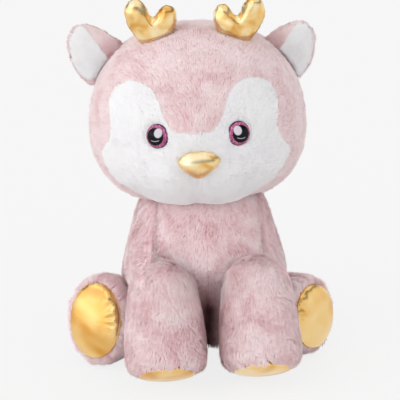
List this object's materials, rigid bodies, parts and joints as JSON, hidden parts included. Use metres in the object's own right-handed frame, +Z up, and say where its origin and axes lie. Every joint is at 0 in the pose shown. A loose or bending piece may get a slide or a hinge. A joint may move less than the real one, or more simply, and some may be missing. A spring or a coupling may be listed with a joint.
{
  "type": "plush deer",
  "caption": "Sitting soft-toy deer with a plush cover over stuffing, foil soles, nose and antlers, domed eyes and a flat seat, its head, ears, legs and tail on sprung seams.",
  "frame": {"origin": "middle of the flat seat, on the surface that the deer sits on", "axes": "+Z up, the deer faces -Y, its own left is +X"},
  "size_m": [0.2998, 0.3052, 0.4015],
  "materials": {
    "pink_plush": "soft long-pile plush, dusty pink",
    "white_plush": "soft long-pile plush, white",
    "gold_foil": "foil-coated cloth, glossy pale gold",
    "stuffing": "loose polyester fibre",
    "bag_cloth": "plain woven cotton, filled with plastic pellets",
    "eye_plastic": "moulded safety eye, magenta glitter ring and black pupil under a clear dome",
    "washer_plastic": "plain moulded locking washer"
  },
  "bodies": {
    "torso": {"torso_skin": "pink_plush", "torso_filling": "stuffing", "pellet_bag": "bag_cloth"},
    "neck": {"neck_filling": "stuffing"},
    "head": {"head_skin": "pink_plush", "face_panel": "white_plush", "head_filling": "stuffing", "eye_left": "eye_plastic", "eye_right": "eye_plastic", "eye_washer_left": "washer_plastic", "eye_washer_right": "washer_plastic", "nose": "gold_foil"},
    "tail": {"tail": "pink_plush"},
    "ear_left": {"ear_skin_left": "pink_plush", "ear_lining_left": "white_plush"},
    "antler_left": {"antler_left": "gold_foil"},
    "front_leg_left": {"front_leg_skin_left": "pink_plush", "front_leg_filling_left": "stuffing", "front_sole_left": "gold_foil"},
    "hind_leg_left": {"hind_leg_skin_left": "pink_plush", "hind_leg_filling_left": "stuffing", "hind_sole_left": "gold_foil"},
    "ear_right": {"ear_skin_right": "pink_plush", "ear_lining_right": "white_plush"},
    "antler_right": {"antler_right": "gold_foil"},
    "front_leg_right": {"front_leg_skin_right": "pink_plush", "front_leg_filling_right": "stuffing", "front_sole_right": "gold_foil"},
    "hind_leg_right": {"hind_leg_skin_right": "pink_plush", "hind_leg_filling_right": "stuffing", "hind_sole_right": "gold_foil"}
  },
  "joints": [
    {"name": "head_turn", "type": "hinge", "parent": "torso", "child": "neck", "pos_m": [0, -0.006, 0.14], "axis": [0, 0, 1], "range_deg": [-25, 25], "stiffness_Nm_per_rad": 2},
    {"name": "head_nod", "type": "hinge", "parent": "neck", "child": "head", "pos_m": [0, -0.006, 0.14], "axis": [1, 0, 0], "range_deg": [-8, 8], "stiffness_Nm_per_rad": 4},
    {"name": "ear_rock_left", "type": "hinge", "parent": "head", "child": "ear_left", "pos_m": [0.0831, -0.0094, 0.3216], "axis": [0.7342, 0.1609, -0.6596], "range_deg": [-12, 12], "stiffness_Nm_per_rad": 0.05},
    {"name": "antler_rock_left", "type": "hinge", "parent": "head", "child": "antler_left", "pos_m": [0.0446, -0.045, 0.3586], "axis": [0.9979, -0.0645, 0], "range_deg": [-12, 12], "stiffness_Nm_per_rad": 0.05},
    {"name": "ear_rock_right", "type": "hinge", "parent": "head", "child": "ear_right", "pos_m": [-0.0935, 0.0021, 0.3253], "axis": [0.7074, -0.2541, 0.6596], "range_deg": [-12, 12], "stiffness_Nm_per_rad": 0.05},
    {"name": "antler_rock_right", "type": "hinge", "parent": "head", "child": "antler_right", "pos_m": [-0.0492, -0.0389, 0.3596], "axis": [0.9979, -0.0645, 0], "range_deg": [-12, 12], "stiffness_Nm_per_rad": 0.05},
    {"name": "front_leg_lift_left", "type": "hinge", "parent": "torso", "child": "front_leg_left", "pos_m": [0.05, -0.0752, 0.123], "axis": [-1, 0, 0], "range_deg": [0, 40], "stiffness_Nm_per_rad": 0.4},
    {"name": "front_leg_lift_right", "type": "hinge", "parent": "torso", "child": "front_leg_right", "pos_m": [-0.05, -0.0751, 0.123], "axis": [-1, 0, 0], "range_deg": [0, 40], "stiffness_Nm_per_rad": 0.4},
    {"name": "hind_leg_lift_left", "type": "hinge", "parent": "torso", "child": "hind_leg_left", "pos_m": [0.0863, -0.0378, 0.0945], "axis": [-0.7071, -0.7071, 0], "range_deg": [0, 25], "stiffness_Nm_per_rad": 0.4},
    {"name": "hind_leg_lift_right", "type": "hinge", "parent": "torso", "child": "hind_leg_right", "pos_m": [-0.0926, -0.0085, 0.1043], "axis": [-0.8572, 0.515, 0], "range_deg": [0, 25], "stiffness_Nm_per_rad": 0.4},
    {"name": "tail_wag", "type": "hinge", "parent": "torso", "child": "tail", "pos_m": [0, 0.0976, 0.052], "axis": [1, 0, 0], "range_deg": [-12, 12], "stiffness_Nm_per_rad": 0.05}
  ]
}
